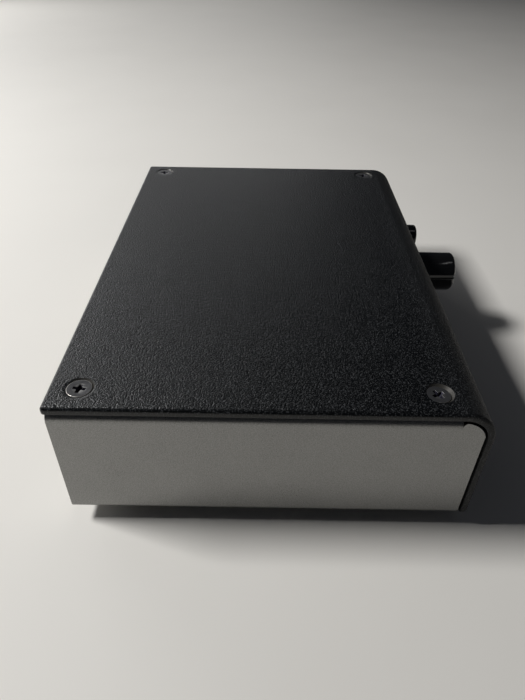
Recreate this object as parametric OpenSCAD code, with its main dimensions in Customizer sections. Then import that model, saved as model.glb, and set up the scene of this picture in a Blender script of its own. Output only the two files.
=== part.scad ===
// Passive preamplifier: two stereo inputs, one stereo output, a source button and a volume knob.
// Millimetres. +X is to the right seen from the front, the front faces -Y, +Z is up.
// The origin is on the surface that the feet stand on, at the centre of the overall outline.

/* [Case] */
// Length of the case, side to side
case_length = 127; // [112:1:180]
// Depth of the case, front panel to rear edge of the cover
case_depth = 88.9; // [80:0.1:130]
// Height of the case, chassis floor to cover top
case_height = 31.4; // [28:0.2:45]
// Thickness of the cover sheet
cover_thickness = 1.6; // [1:0.1:2]
// Outside radius of the cover's bend between top and front
cover_bend_radius = 7; // [4:0.1:9]
// How far the front panel stops above the chassis floor's underside
panel_rise = 0.7; // [-0.5:0.1:1]
// Radius of the cover's four free corners
cover_corner_radius = 0.8; // [0.3:0.1:3]
// Thickness of the chassis sheet
chassis_thickness = 1.2; // [0.8:0.1:1.6]
// How far the chassis sits inside the cover's edges at the sides and rear
chassis_inset = 0.35; // [0.1:0.05:0.8]
// Gap between the front panel and the front edges of the chassis
panel_gap = 0.45; // [0.2:0.05:1]
// Gap between the cover's bend and the rounded front corners of the chassis sides
corner_gap = 0.25; // [0.1:0.05:0.6]
// Width of the flanges folded inward at the top of the sides
flange_width = 11; // [10:0.1:14]
// Outside radius of the flange bends
flange_bend_radius = 2; // [1.7:0.1:3]
// Outside radius of the bends between floor and sides
floor_bend_radius = 1.5; // [1.5:0.1:3]
// Radius of the corner between floor and rear wall
rear_corner_radius = 1; // [0.5:0.1:1.2]
// Height of the lip folded up behind the front panel
front_lip_height = 8; // [5:0.5:9]

/* [Cover screws] */
// Distance of the screws from the ends of the cover
screw_side_inset = 6; // [5.5:0.1:7]
// Distance of the rear screws from the cover's rear edge
screw_rear_inset = 6.2; // [6:0.1:10]
// Distance of the front screws from the front face
screw_front_inset = 11.1; // [11:0.1:16]
// Diameter of the screw threads
screw_diameter = 3; // [2.5:0.1:3.5]
// Diameter of the countersunk heads
screw_head_diameter = 5.7; // [5.2:0.1:6.2]
// Straight rim of the countersunk heads
screw_head_rim = 0.1; // [0.05:0.05:0.2]
// Ring of countersink left around each head
countersink_margin = 0.2; // [0.15:0.05:0.3]
// Length of the cover screws, head included
screw_length = 6; // [5.5:0.5:8]
// Outside diameter of the clinch nuts
nut_diameter = 5.6; // [5.2:0.1:6]
// Thickness of the clinch nuts below the flange
nut_thickness = 2; // [1.5:0.1:2.5]

/* [Feet] */
// Diameter of the feet where they meet the case
foot_diameter = 11; // [8:0.5:16]
// Height of the feet
foot_height = 3.7; // [2.5:0.1:10]
// Distance of the feet's centres from the ends of the case
foot_side_inset = 16; // [15.5:0.5:20]
// Distance of the feet's centres from the front face and the rear edge
foot_end_inset = 12; // [10:0.5:20]

/* [Circuit board] */
// Thickness of the board
board_thickness = 1.6; // [1:0.1:2.4]
// Height of the stand-offs
standoff_height = 5; // [4:0.1:6]
// Diameter of the stand-offs
standoff_diameter = 5; // [4.6:0.1:6]
// Gap between the board and the sides, the lip and the rear wall
board_gap = 1.2; // [0.8:0.1:3]
// Distance of the board screws from the board's ends and front edge
board_screw_inset = 5; // [4:0.5:8]
// Distance of the rear board screws from the rear wall
board_screw_setback = 20; // [18:1:24]

/* [Controls] */
// Width and height of the potentiometer
pot_size = 16; // [14:0.1:16.4]
// Gap between the board and the potentiometer
pot_gap = 0.4; // [0.2:0.1:2]
// Distance from the front panel's inner face to the potentiometer and the switch
control_setback = 5; // [4.5:0.1:7]
// Distance between the knob's axis and the button's axis
control_pitch = 24.2; // [18:0.1:40]
// Diameter of the knob
knob_diameter = 11.9; // [9:0.1:16]
// Distance from the front panel to the knob's front face
knob_reach = 13.2; // [11:0.1:18]
// Gap between the front panel and the knob
knob_gap = 0.95; // [0.8:0.05:2]
// Rounding of the knob's front edge
knob_rounding = 1.1; // [0.3:0.1:1.5]
// Angle of the pointer from straight up, clockwise seen from the front
pointer_angle = -79; // [-150:1:150]
// Width of the pointer groove
pointer_width = 1; // [0.6:0.1:1.6]
// Depth of the pointer groove
pointer_depth = 0.6; // [0.3:0.1:0.9]
// Diameter of the potentiometer shaft
shaft_diameter = 6; // [5:0.1:6.4]
// Diameter of the potentiometer bushing
bushing_diameter = 7.6; // [7.4:0.1:8.4]
// Distance of the button's axis from the right-hand end of the case
button_inset = 22.7; // [18:0.1:26]
// Diameter of the button
button_diameter = 7.7; // [6:0.1:10]
// Distance from the front panel to the button's front face
button_reach = 6.7; // [4:0.1:9]
// Rounding of the button's front edge
button_rounding = 0.9; // [0.3:0.1:1.5]
// Travel of the button
button_travel = 2.5; // [1.5:0.1:3]

/* [Jacks] */
// Distance between the jack pairs
pair_pitch = 35; // [30:0.5:38]
// Distance between the two jacks of a pair
jack_pitch = 14; // [13:0.5:15]
// Height of the jacks' axes above the board
jack_rise = 7; // [6.8:0.1:9]
// Diameter of the jack sleeves
sleeve_diameter = 8.3; // [8:0.1:8.6]
// Wall of the jack sleeves
sleeve_wall = 0.8; // [0.6:0.1:1]
// How far the sleeves stand out behind the case
sleeve_reach = 6.9; // [6:0.1:10]
// Bore of the centre contacts
contact_bore = 3.24; // [3.2:0.01:3.4]
// Depth of the jack housings
jack_housing_depth = 14; // [13:0.5:18]
// How far the sleeves reach in behind the rear of the chassis
sleeve_inner_reach = 7; // [6:0.5:8]

/* [Hidden] */
$fn = 48;

// Small clearances
part_gap = 0.05;
slide_gap = 0.2;
axial_gap = 0.35;
cut_margin = 1;

// Case: y is measured from the middle of its depth, z from the chassis floor's underside
front_face = -case_depth / 2;
rear_edge = case_depth / 2;
panel_inner = front_face + cover_thickness;
flange_top = case_height - cover_thickness;
side_x = case_length / 2 - chassis_inset;
side_inner = side_x - chassis_thickness;
chassis_front = panel_inner + panel_gap;
chassis_rear = rear_edge - chassis_inset;
rear_inner = chassis_rear - chassis_thickness;
flange_start = front_face + cover_bend_radius;
lip_inner = chassis_front + chassis_thickness;
seam_gap = 0.15;
corner_radius = cover_bend_radius - cover_thickness - corner_gap;

// The whole case moves along Y so that the origin is under the middle of the overall depth
jack_overhang = sleeve_reach - chassis_inset;
case_y = (knob_reach - jack_overhang) / 2;

// Cover screws
screw_x = case_length / 2 - screw_side_inset;
screw_rows = [front_face + screw_front_inset, rear_edge - screw_rear_inset];
head_cone_height = (screw_head_diameter - screw_diameter) / 2;
head_sink = countersink_margin - screw_head_rim;
nut_pilot_diameter = (nut_diameter + screw_diameter) / 2;
recess_width = 0.8;
recess_span = 3.2;
recess_depth = 1.1;

// Feet
foot_x = case_length / 2 - foot_side_inset;
foot_rows = [front_face + foot_end_inset, rear_edge - foot_end_inset];
foot_taper = 0.7;
foot_rounding = 0.8;

// Board
board_bottom = chassis_thickness + standoff_height;
board_top = board_bottom + board_thickness;
board_half = side_inner - board_gap;
board_front = lip_inner + board_gap;
board_rear = rear_inner - board_gap;
board_screw_x = board_half - board_screw_inset;
board_screw_rows = [board_front + board_screw_inset, rear_inner - board_screw_setback];
board_screw_diameter = 3;
board_screw_length = 6;
pan_head_diameter = 5.5;
pan_head_height = 1.8;
pan_recess_share = 0.6;
standoff_shank = 4.2;
tail_length = 1.5;

// Potentiometer, along Y from its front plate back
control_z = board_top + pot_gap + pot_size / 2;
control_front = panel_inner + control_setback;
button_x = case_length / 2 - button_inset;
volume_x = button_x - control_pitch;
pot_plate = 1.2;
pot_wall = 0.8;
pot_cavity = pot_size - 2 * pot_wall;
pot_back_wall = 1;
track_thickness = 1;
wiper_thickness = 1.5;
gang_pitch = track_thickness + wiper_thickness + 2 * axial_gap;
pot_inside = control_front + pot_plate;
pot_depth = 2 * gang_pitch + axial_gap + pot_back_wall;
pot_rear = pot_inside + pot_depth;
track_fronts = [for (gang = [0, 1]) pot_inside + wiper_thickness + 2 * axial_gap + gang * gang_pitch];
spindle_diameter = 3;
bushing_proud = 0.6;
bushing_tip = front_face - bushing_proud;
terminal_pitch = 4;
terminal_size = [0.9, 0.4];
terminal_top = control_z - pot_cavity / 3;

// Knob and shaft end
knob_front = front_face - knob_reach;
knob_back = front_face - knob_gap;
knob_web = 2;
shaft_tip = knob_front + knob_web;
flat_offset = shaft_diameter / 4;
flat_length = 8;
flat_start = min(shaft_tip + flat_length, bushing_tip - part_gap);
clip_thickness = 0.35;
clip_width = 3;
clip_length = 0.75 * flat_length;
pointer_start = 1.5;

// Selector switch, along Y from its front wall back
switch_width = 10.5;
switch_headroom = 5;
switch_wall = 1.2;
switch_cavity_width = 7.4;
switch_cavity_height = 6.6;
slider_length = 6;
spring_length = 6.5;
spring_turns = 6;
spring_wire = 0.5;
spring_radius = 1.8;
rod_size = 3;
slider_front = control_front + switch_wall + axial_gap;
slider_rear = slider_front + slider_length;
spring_rear = slider_rear + spring_length + 2 * part_gap;
switch_rear = spring_rear + switch_wall;
button_front = front_face - button_reach;
button_back = control_front - button_travel - axial_gap;
button_web = 3;
rod_tip = button_front + button_web;
latch_wire = 0.7;
latch_groove = [2.4, 1.2];
latch_groove_setback = 0.6;
bridge_size = [1, 4.4, 0.5];
switch_row_offset = 2.4;
switch_pin_pitch = 3.2;
switch_middle = slider_front + slider_length / 2 + button_travel / 2;

// Jacks, along Y from the rear wall
jack_z = board_top + jack_rise;
jack_pairs = [-pair_pitch, 0, pair_pitch];
jack_block_side = 6.5;
jack_block_width = jack_pitch + 2 * jack_block_side;
jack_block_headroom = 7.6;
collar_diameter = 9.8;
collar_proud = 0.6;
collar_gap = 0.2;
sleeve_tip = chassis_rear + sleeve_reach;
sleeve_root = chassis_rear - sleeve_inner_reach;
sleeve_chamfer = 0.4;
sleeve_step = 0.4;
sleeve_seat = chassis_rear + collar_proud + part_gap;
insert_recess = 0.5;
insert_tip = sleeve_tip - insert_recess;
insert_web = 1;
contact_wall = 0.3;
contact_recess = 0.8;
contact_tip = insert_tip - contact_recess;
contact_root = sleeve_root + insert_web + part_gap;
contact_outer = contact_bore + 2 * contact_wall;
jack_screw_diameter = 2.9;
jack_screw_length = 8;
jack_screw_head = 5.2;
jack_screw_head_height = 1.7;
jack_screw_rise = 4.8;
signal_pin_setback = sleeve_inner_reach + 2;
ground_pin_setback = 4;
pin_size = [0.9, 0.5];
jack_pin_height = 2;

// Shared shapes

// Draws its children on both sides of the centre
module both_sides() {
    children();
    mirror([1, 0, 0]) children();
}

// Extrudes an outline drawn in X and Z along Y, between two places
module along_y(from_y, to_y) {
    translate([0, to_y, 0]) rotate([90, 0, 0]) linear_extrude(to_y - from_y) children();
}

// Extrudes an outline drawn in Y and Z along X, to both sides of the centre
module along_x(half_length) {
    translate([-half_length, 0, 0]) rotate([90, 0, 90]) linear_extrude(2 * half_length) children();
}

// A round bar along Y, between two places
module bar_y(x, z, diameter, from_y, to_y) {
    translate([x, to_y, z]) rotate([90, 0, 0]) cylinder(d = diameter, h = to_y - from_y);
}

// A quarter ring of bent sheet in the first quadrant
module quarter_bend(outer_radius, thickness) {
    intersection() {
        difference() {
            circle(outer_radius, $fn = 96);
            circle(outer_radius - thickness, $fn = 96);
        }
        square(outer_radius);
    }
}

// A cross-shaped driver recess that opens upward, with its top at z = 0
module cross_recess(span, width, depth) {
    for (turn = [0, 90]) rotate(turn) {
        translate([-span / 2, -width / 2, -depth]) cube([span, width, depth + cut_margin]);
    }
}

// A pan-head screw with its head's underside at z = 0 and its shank below
module pan_screw(head_diameter, head_height, diameter, shank) {
    difference() {
        rotate_extrude() union() {
            square([head_diameter / 2 - head_height / 2, head_height]);
            square([head_diameter / 2, head_height / 2]);
            translate([head_diameter / 2 - head_height / 2, head_height / 2]) circle(head_height / 2);
        }
        translate([0, 0, head_height])
            cross_recess(pan_recess_share * head_diameter, recess_width, pan_recess_share * head_height);
    }
    translate([0, 0, -shank]) cylinder(d = diameter, h = shank);
}

// Upright flat pins at a list of places, between two heights, grown for the slots that take them
module flat_pins(places, size, from_z, to_z, grow = 0) {
    for (place = places) {
        translate([place.x - size.x / 2 - grow, place.y - size.y / 2 - grow, from_z])
            cube([size.x + 2 * grow, size.y + 2 * grow, to_z - from_z]);
    }
}

// Places of repeated pieces

module at_cover_screws() {
    both_sides() for (y = screw_rows) translate([screw_x, y, case_height]) children();
}

module at_board_screws() {
    both_sides() for (y = board_screw_rows) translate([board_screw_x, y, 0]) children();
}

function pot_pin_places() = [
    for (front = track_fronts) for (step = [-1, 0, 1])
        [volume_x + step * terminal_pitch, front + track_thickness / 2]
];

function switch_pin_places() = [
    for (side = [-1, 1]) for (step = [-1, 0, 1])
        [button_x + side * switch_row_offset, switch_middle + step * switch_pin_pitch]
];

function jack_pin_places() = concat(
    [for (pair = jack_pairs) for (side = [-1, 1])
        [pair + side * jack_pitch / 2, rear_inner - signal_pin_setback]],
    [for (pair = jack_pairs) [pair, rear_inner - ground_pin_setback]]
);

// Case

module cover_profile() {
    translate([flange_start, flange_top]) square([rear_edge - flange_start, cover_thickness]);
    translate([flange_start, case_height - cover_bend_radius]) mirror([1, 0])
        quarter_bend(cover_bend_radius, cover_thickness);
    translate([front_face, panel_rise])
        square([cover_thickness, case_height - cover_bend_radius - panel_rise]);
}

// What rounding takes off a square corner that points to +X and +Y, between two heights
module corner_waste(radius, from_z, to_z) {
    translate([-radius, -radius, from_z]) linear_extrude(to_z - from_z) difference() {
        square(radius + cut_margin);
        circle(radius);
    }
}

// The conical seat of a cover screw, with the cover's top at z = 0
module countersink() {
    sunk = head_sink + screw_head_rim;
    mouth = screw_head_diameter + 2 * sunk + 2 * part_gap;
    translate([0, 0, -sunk - head_cone_height])
        cylinder(d1 = screw_diameter + 2 * part_gap, d2 = mouth, h = head_cone_height + sunk);
    cylinder(d = mouth, h = cut_margin);
}

module top_cover() {
    color("#1b1c1e") difference() {
        along_x(case_length / 2) cover_profile();
        at_cover_screws() {
            countersink();
            translate([0, 0, -cover_thickness - cut_margin])
                cylinder(d = screw_diameter + 4 * part_gap, h = cover_thickness + cut_margin);
        }
        bar_y(volume_x, control_z, bushing_diameter + 2 * slide_gap,
              front_face - cut_margin, panel_inner + cut_margin);
        bar_y(button_x, control_z, button_diameter + 2 * axial_gap,
              front_face - cut_margin, panel_inner + cut_margin);
        both_sides() {
            translate([case_length / 2, rear_edge, 0])
                corner_waste(cover_corner_radius, flange_top - cut_margin, case_height + cut_margin);
            translate([case_length / 2, 0, panel_rise]) rotate([-90, 0, 0])
                corner_waste(cover_corner_radius, front_face - cut_margin, panel_inner + cut_margin);
        }
    }
}

module chassis_section(with_flange) {
    both_sides() {
        square([side_x - floor_bend_radius, chassis_thickness]);
        translate([side_x - floor_bend_radius, floor_bend_radius]) rotate(-90)
            quarter_bend(floor_bend_radius, chassis_thickness);
        if (with_flange) {
            translate([side_inner, floor_bend_radius])
                square([chassis_thickness, flange_top - flange_bend_radius - floor_bend_radius]);
            translate([side_x - flange_bend_radius, flange_top - flange_bend_radius])
                quarter_bend(flange_bend_radius, chassis_thickness);
            translate([side_x - flange_width, flange_top - chassis_thickness])
                square([flange_width - flange_bend_radius, chassis_thickness]);
        } else {
            translate([side_inner, floor_bend_radius])
                square([chassis_thickness, flange_top - floor_bend_radius]);
        }
    }
}

// Side view of the chassis: rounded to follow the cover's bend, and at the rear corner
module chassis_outline() {
    arc_y = flange_start;
    arc_z = flange_top - corner_gap - corner_radius;
    difference() {
        translate([chassis_front, 0]) square([chassis_rear - chassis_front, flange_top]);
        difference() {
            translate([chassis_front - cut_margin, arc_z])
                square([arc_y - chassis_front + cut_margin, flange_top + cut_margin - arc_z]);
            translate([arc_y, arc_z]) circle(corner_radius, $fn = 96);
        }
        difference() {
            translate([chassis_rear - rear_corner_radius, -cut_margin])
                square([rear_corner_radius + cut_margin, rear_corner_radius + cut_margin]);
            translate([chassis_rear - rear_corner_radius, rear_corner_radius])
                circle(rear_corner_radius, $fn = 96);
        }
    }
}

module rear_wall_outline() {
    half_width = side_inner - seam_gap;
    flange_bottom = flange_top - chassis_thickness - seam_gap;
    difference() {
        union() {
            translate([-half_width, floor_bend_radius])
                square([2 * half_width, flange_top - part_gap - floor_bend_radius]);
            translate([-side_x + floor_bend_radius, 0])
                square([2 * (side_x - floor_bend_radius), floor_bend_radius]);
        }
        both_sides() {
            translate([side_x - flange_width - seam_gap, flange_bottom])
                square([flange_width, chassis_thickness + 2 * seam_gap]);
            translate([side_x - flange_bend_radius - seam_gap, flange_top - flange_bend_radius])
                square([flange_bend_radius, flange_bend_radius]);
        }
    }
}

module chassis() {
    color("#8d8d89") difference() {
        intersection() {
            along_x(side_x) chassis_outline();
            union() {
                along_y(chassis_front, flange_start) chassis_section(false);
                along_y(flange_start, chassis_rear) chassis_section(true);
                along_y(rear_inner, chassis_rear) rear_wall_outline();
                along_y(chassis_front, lip_inner)
                    translate([-side_x + floor_bend_radius, 0])
                        square([2 * (side_x - floor_bend_radius), front_lip_height]);
            }
        }
        at_cover_screws() {
            countersink();
            translate([0, 0, -cover_thickness - chassis_thickness - cut_margin])
                cylinder(d = nut_pilot_diameter + 2 * part_gap, h = chassis_thickness + 2 * cut_margin);
        }
        at_board_screws() translate([0, 0, -cut_margin])
            cylinder(d = standoff_shank + 2 * part_gap, h = chassis_thickness + 2 * cut_margin);
        for (pair = jack_pairs) {
            for (side = [-1, 1]) bar_y(pair + side * jack_pitch / 2, jack_z,
                collar_diameter + 2 * collar_gap, rear_inner - cut_margin, chassis_rear + cut_margin);
            bar_y(pair, jack_z + jack_screw_rise, jack_screw_diameter + 2 * part_gap,
                rear_inner - cut_margin, chassis_rear + cut_margin);
        }
    }
}

module cover_screws() {
    color("#17171a") at_cover_screws() translate([0, 0, -head_sink]) difference() {
        union() {
            translate([0, 0, -screw_head_rim]) cylinder(d = screw_head_diameter, h = screw_head_rim);
            translate([0, 0, -screw_head_rim - head_cone_height])
                cylinder(d1 = screw_diameter, d2 = screw_head_diameter, h = head_cone_height);
            translate([0, 0, -screw_length])
                cylinder(d = screw_diameter, h = screw_length - screw_head_rim);
        }
        cross_recess(recess_span, recess_width, recess_depth);
    }
}

module clinch_nuts() {
    nut_height = nut_thickness + chassis_thickness;
    color("#b9babb") at_cover_screws() difference() {
        translate([0, 0, -cover_thickness - nut_height]) {
            cylinder(d = nut_diameter, h = nut_thickness);
            cylinder(d = nut_pilot_diameter, h = nut_height);
        }
        translate([0, 0, -cover_thickness - nut_height - cut_margin])
            cylinder(d = screw_diameter + 2 * part_gap, h = nut_height + 2 * cut_margin);
        countersink();
    }
}

module rubber_feet() {
    top_radius = foot_diameter / 2;
    bottom_radius = top_radius - foot_taper;
    color("#202020") both_sides() for (y = foot_rows) translate([foot_x, y, -foot_height])
        rotate_extrude() union() {
            polygon([
                [0, 0], [bottom_radius - foot_rounding, 0], [bottom_radius, foot_rounding],
                [top_radius, foot_height], [0, foot_height]
            ]);
            translate([bottom_radius - foot_rounding, foot_rounding]) circle(foot_rounding);
        }
}

// Board

module board_standoffs() {
    color("#c2c3c4") at_board_screws() difference() {
        union() {
            cylinder(d = standoff_shank, h = chassis_thickness);
            translate([0, 0, chassis_thickness]) cylinder(d = standoff_diameter, h = standoff_height);
        }
        translate([0, 0, -cut_margin])
            cylinder(d = board_screw_diameter + 2 * part_gap,
                     h = chassis_thickness + standoff_height + 2 * cut_margin);
    }
}

module board_screws() {
    color("#c9cacb") at_board_screws() translate([0, 0, board_top])
        pan_screw(pan_head_diameter, pan_head_height, board_screw_diameter, board_screw_length);
}

module circuit_board() {
    color("#1f5a35") difference() {
        translate([-board_half, board_front, board_bottom])
            cube([2 * board_half, board_rear - board_front, board_thickness]);
        at_board_screws() translate([0, 0, board_bottom - cut_margin])
            cylinder(d = board_screw_diameter + 2 * slide_gap, h = board_thickness + 2 * cut_margin);
        below = board_bottom - cut_margin;
        above = board_top + cut_margin;
        flat_pins(pot_pin_places(), terminal_size, below, above, part_gap);
        flat_pins(switch_pin_places(), terminal_size, below, above, part_gap);
        flat_pins(jack_pin_places(), pin_size, below, above, part_gap);
    }
}

// Jacks

module jack_housings() {
    color("#161616") difference() {
        for (pair = jack_pairs) {
            translate([pair - jack_block_width / 2, rear_inner - jack_housing_depth, board_top])
                cube([jack_block_width, jack_housing_depth, jack_rise + jack_block_headroom]);
            for (side = [-1, 1]) bar_y(pair + side * jack_pitch / 2, jack_z, collar_diameter,
                rear_inner - part_gap, chassis_rear + collar_proud);
        }
        for (pair = jack_pairs) {
            for (side = [-1, 1]) bar_y(pair + side * jack_pitch / 2, jack_z,
                sleeve_diameter - 2 * sleeve_step + 2 * part_gap,
                sleeve_root, chassis_rear + collar_proud + cut_margin);
            bar_y(pair, jack_z + jack_screw_rise, jack_screw_diameter + 2 * part_gap,
                chassis_rear - jack_screw_length - part_gap, rear_inner + cut_margin);
        }
        flat_pins(jack_pin_places(), pin_size,
            board_top - cut_margin, board_top + jack_pin_height, part_gap);
    }
}

// Each sleeve is thinner where it sits in its housing, and its step rests on the collar
module jack_sleeves() {
    outer = sleeve_diameter / 2;
    inner = outer - sleeve_wall;
    seated = outer - sleeve_step;
    step = sleeve_seat - sleeve_root;
    length = sleeve_tip - sleeve_root;
    color("#c8c4b8") for (pair = jack_pairs) for (side = [-1, 1])
        translate([pair + side * jack_pitch / 2, sleeve_root, jack_z]) rotate([-90, 0, 0])
            rotate_extrude() polygon([
                [inner, 0], [seated, 0], [seated, step], [outer, step], [outer, length - sleeve_chamfer],
                [outer - sleeve_chamfer, length], [inner, length]
            ]);
}

module jack_inserts(side) {
    for (pair = jack_pairs) difference() {
        bar_y(pair + side * jack_pitch / 2, jack_z,
            sleeve_diameter - 2 * sleeve_wall - 2 * part_gap, sleeve_root, insert_tip);
        bar_y(pair + side * jack_pitch / 2, jack_z,
            contact_outer + 2 * part_gap, sleeve_root + insert_web, insert_tip + cut_margin);
    }
}

module jack_inserts_white() {
    color("#e8e6e0") jack_inserts(1);
}

module jack_inserts_red() {
    color("#b3211f") jack_inserts(-1);
}

module jack_contacts() {
    color("#c9a548") for (pair = jack_pairs) for (side = [-1, 1]) difference() {
        bar_y(pair + side * jack_pitch / 2, jack_z, contact_outer, contact_root, contact_tip);
        bar_y(pair + side * jack_pitch / 2, jack_z, contact_bore,
            contact_root + contact_wall, contact_tip + cut_margin);
    }
}

module jack_pins() {
    color("#c9c9c4") flat_pins(jack_pin_places(), pin_size,
        board_bottom - tail_length, board_top + jack_pin_height - part_gap);
}

module jack_screws() {
    color("#1a1a1c") for (pair = jack_pairs)
        translate([pair, chassis_rear, jack_z + jack_screw_rise]) rotate([-90, 0, 0])
            pan_screw(jack_screw_head, jack_screw_head_height, jack_screw_diameter, jack_screw_length);
}

// Volume control

module volume_bushing() {
    color("#b4b5b6") difference() {
        union() {
            bar_y(volume_x, control_z, bushing_diameter, bushing_tip, control_front);
            translate([volume_x - pot_size / 2, control_front, control_z - pot_size / 2])
                cube([pot_size, pot_plate, pot_size]);
        }
        bar_y(volume_x, control_z, shaft_diameter + 2 * part_gap,
            bushing_tip - cut_margin, pot_inside + cut_margin);
    }
}

module volume_housing() {
    color("#2a3b52") difference() {
        translate([volume_x - pot_size / 2, pot_inside, control_z - pot_size / 2])
            cube([pot_size, pot_depth, pot_size]);
        bar_y(volume_x, control_z, pot_cavity, pot_inside - cut_margin, pot_rear - pot_back_wall);
        bar_y(volume_x, control_z, spindle_diameter + 2 * part_gap,
            pot_inside - cut_margin, pot_rear + cut_margin);
        flat_pins(pot_pin_places(), terminal_size,
            control_z - pot_size / 2 - cut_margin, terminal_top, part_gap);
    }
}

module volume_tracks() {
    color("#7a5a36") for (front = track_fronts) difference() {
        bar_y(volume_x, control_z, pot_cavity - 2 * part_gap, front, front + track_thickness);
        bar_y(volume_x, control_z, spindle_diameter + 4 * slide_gap,
            front - cut_margin, front + track_thickness + cut_margin);
        flat_pins(pot_pin_places(), terminal_size,
            control_z - pot_size / 2 - cut_margin, terminal_top, part_gap);
    }
}

module volume_terminals() {
    color("#c9c9c4") flat_pins(pot_pin_places(), terminal_size,
        board_bottom - tail_length, terminal_top - part_gap);
}

module volume_shaft() {
    color("#c4c5c7") difference() {
        union() {
            bar_y(volume_x, control_z, shaft_diameter, shaft_tip, pot_inside);
            bar_y(volume_x, control_z, spindle_diameter, pot_inside - part_gap, pot_rear);
        }
        translate([volume_x, 0, control_z]) rotate([0, pointer_angle, 0])
            translate([-shaft_diameter, shaft_tip - cut_margin, -shaft_diameter - flat_offset])
                cube([2 * shaft_diameter, flat_start - shaft_tip + cut_margin, shaft_diameter]);
    }
}

module volume_wipers() {
    color("#d8d2c0") for (front = track_fronts) difference() {
        bar_y(volume_x, control_z, pot_cavity - 4 * axial_gap,
            front - axial_gap - wiper_thickness, front - axial_gap);
        bar_y(volume_x, control_z, spindle_diameter + 2 * part_gap,
            front - wiper_thickness - cut_margin, front + cut_margin);
    }
}

module knob_profile() {
    radius = knob_diameter / 2;
    length = knob_back - knob_front;
    square([radius - knob_rounding, length]);
    translate([0, knob_rounding]) square([radius, length - knob_rounding]);
    translate([radius - knob_rounding, knob_rounding]) circle(knob_rounding);
}

module volume_knob() {
    color("#0c0c0d") difference() {
        translate([volume_x, knob_front, control_z]) rotate([-90, 0, 0])
            rotate_extrude($fn = 96) knob_profile();
        difference() {
            bar_y(volume_x, control_z, shaft_diameter + 2 * part_gap,
                shaft_tip - part_gap, knob_back + cut_margin);
            translate([volume_x, 0, control_z]) rotate([0, pointer_angle, 0])
                translate([-shaft_diameter, knob_front,
                           -shaft_diameter - flat_offset - clip_thickness - 2 * part_gap])
                    cube([2 * shaft_diameter, flat_start - knob_front - part_gap, shaft_diameter]);
        }
        translate([volume_x, 0, control_z]) rotate([0, pointer_angle, 0]) {
            translate([-pointer_width / 2, knob_front - cut_margin, knob_diameter / 2 - pointer_depth])
                cube([pointer_width, knob_back - knob_front + 2 * cut_margin, pointer_depth + cut_margin]);
            translate([-pointer_width / 2, knob_front - cut_margin, pointer_start])
                cube([pointer_width, pointer_depth + cut_margin, knob_diameter]);
        }
    }
}

module knob_clip() {
    color("#a9abad") translate([volume_x, 0, control_z]) rotate([0, pointer_angle, 0])
        translate([-clip_width / 2, shaft_tip + part_gap, -flat_offset - clip_thickness - part_gap])
            cube([clip_width, clip_length, clip_thickness]);
}

// Selector switch

module switch_housing() {
    cavity_front = control_front + switch_wall;
    color("#d9d5c8") difference() {
        translate([button_x - switch_width / 2, control_front, board_top])
            cube([switch_width, switch_rear - control_front, control_z - board_top + switch_headroom]);
        translate([button_x - switch_cavity_width / 2, cavity_front, control_z - switch_cavity_height / 2])
            cube([switch_cavity_width, spring_rear - cavity_front, switch_cavity_height]);
        translate([button_x - rod_size / 2 - slide_gap, control_front - cut_margin,
                   control_z - rod_size / 2 - slide_gap])
            cube([rod_size + 2 * slide_gap, switch_wall + 2 * cut_margin, rod_size + 2 * slide_gap]);
        translate([button_x - latch_wire / 2 - part_gap, cavity_front + part_gap, control_z])
            cube([latch_wire + 2 * part_gap, slider_length + button_travel, switch_headroom + cut_margin]);
        flat_pins(switch_pin_places(), terminal_size, board_top - cut_margin, control_z, part_gap);
    }
}

module switch_plunger() {
    slider_width = switch_cavity_width - 2 * slide_gap;
    slider_height = switch_cavity_height - 2 * slide_gap;
    color("#e4e1d6") difference() {
        union() {
            translate([button_x - slider_width / 2, slider_front, control_z - slider_height / 2])
                cube([slider_width, slider_length, slider_height]);
            translate([button_x - rod_size / 2, rod_tip, control_z - rod_size / 2])
                cube([rod_size, slider_front - rod_tip + part_gap, rod_size]);
        }
        translate([button_x - latch_groove.x / 2, slider_front + latch_groove_setback,
                   control_z + slider_height / 2 - latch_groove.y])
            cube([latch_groove.x, slider_length - 2 * latch_groove_setback, latch_groove.y + cut_margin]);
        at_bridges(part_gap, cut_margin);
    }
}

// The two contact bridges in the slider's underside, grown for their pockets
module at_bridges(grow, below) {
    bottom = control_z - switch_cavity_height / 2 + slide_gap;
    for (side = [-1, 1])
        translate([button_x + side * switch_row_offset - bridge_size.x / 2 - grow,
                   slider_front + (slider_length - bridge_size.y) / 2 - grow, bottom - below])
            cube([bridge_size.x + 2 * grow, bridge_size.y + 2 * grow, bridge_size.z + grow + below]);
}

module switch_bridges() {
    color("#c9a548") at_bridges(0, 0);
}

module switch_terminals() {
    color("#c9c9c4") flat_pins(switch_pin_places(), terminal_size,
        board_bottom - tail_length, control_z - switch_cavity_height / 2);
}

module switch_latch_pin() {
    top = control_z + switch_cavity_height / 2 + latch_wire;
    groove_floor = control_z + switch_cavity_height / 2 - slide_gap - latch_groove.y;
    leg_y = slider_front + slider_length / 2 + button_travel / 2;
    color("#9c9ea0") {
        bar_y(button_x, top, latch_wire,
            control_front + switch_wall + 2 * part_gap, leg_y + latch_wire / 2);
        translate([button_x, leg_y, groove_floor + slide_gap])
            cylinder(d = latch_wire, h = top - groove_floor - slide_gap);
    }
}

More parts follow.
